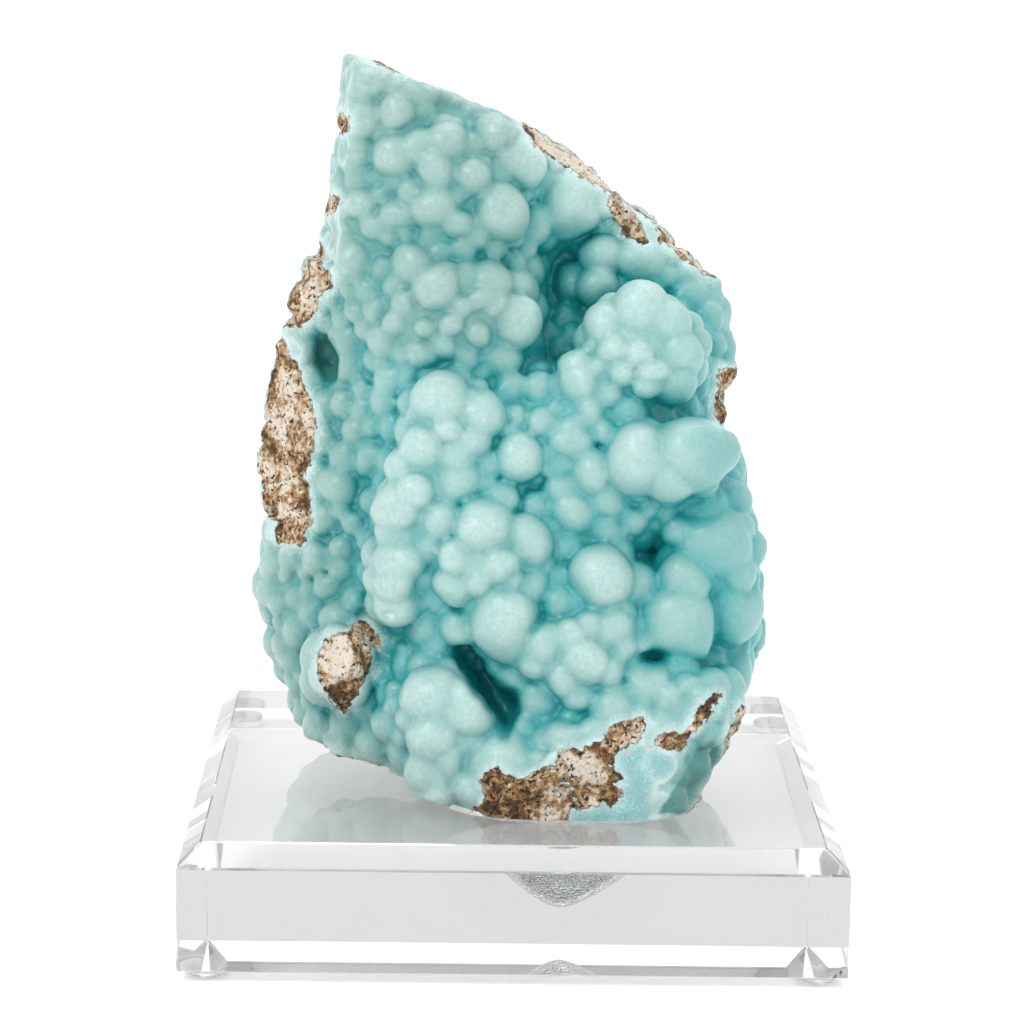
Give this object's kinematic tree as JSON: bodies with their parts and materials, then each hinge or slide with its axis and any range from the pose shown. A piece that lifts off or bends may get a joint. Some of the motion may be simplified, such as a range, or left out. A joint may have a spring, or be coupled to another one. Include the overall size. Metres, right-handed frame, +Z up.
{
  "type": "mounted mineral specimen",
  "caption": "Blue-green botryoidal hemimorphite crust on broken brown matrix, standing upright in the ground recess of a bevelled clear acrylic display base on rubber bumpers.",
  "frame": {"origin": "on the floor, below the middle of the base's footprint", "axes": "+Z up through the stone's height, -Y out of the base's label face, +X to the right seen from the front"},
  "size_m": [0.127, 0.127, 0.1703],
  "materials": {
    "hemimorphite": "waxy, translucent botryoidal crust with a fine crystalline sparkle, pale on the crowns and deep teal in the hollows, over rough brown matrix where it is broken",
    "acrylic": "clear polished acrylic with flame-bright bevels; the ground recess is frosted",
    "bumper": "clear soft polyurethane, semi-gloss"
  },
  "bodies": {
    "root": {"hemimorphite": "hemimorphite", "acrylic_base": "acrylic", "bumper_foot_front_left": "bumper", "bumper_foot_front_right": "bumper", "bumper_foot_back_left": "bumper", "bumper_foot_back_right": "bumper"}
  },
  "joints": []
}
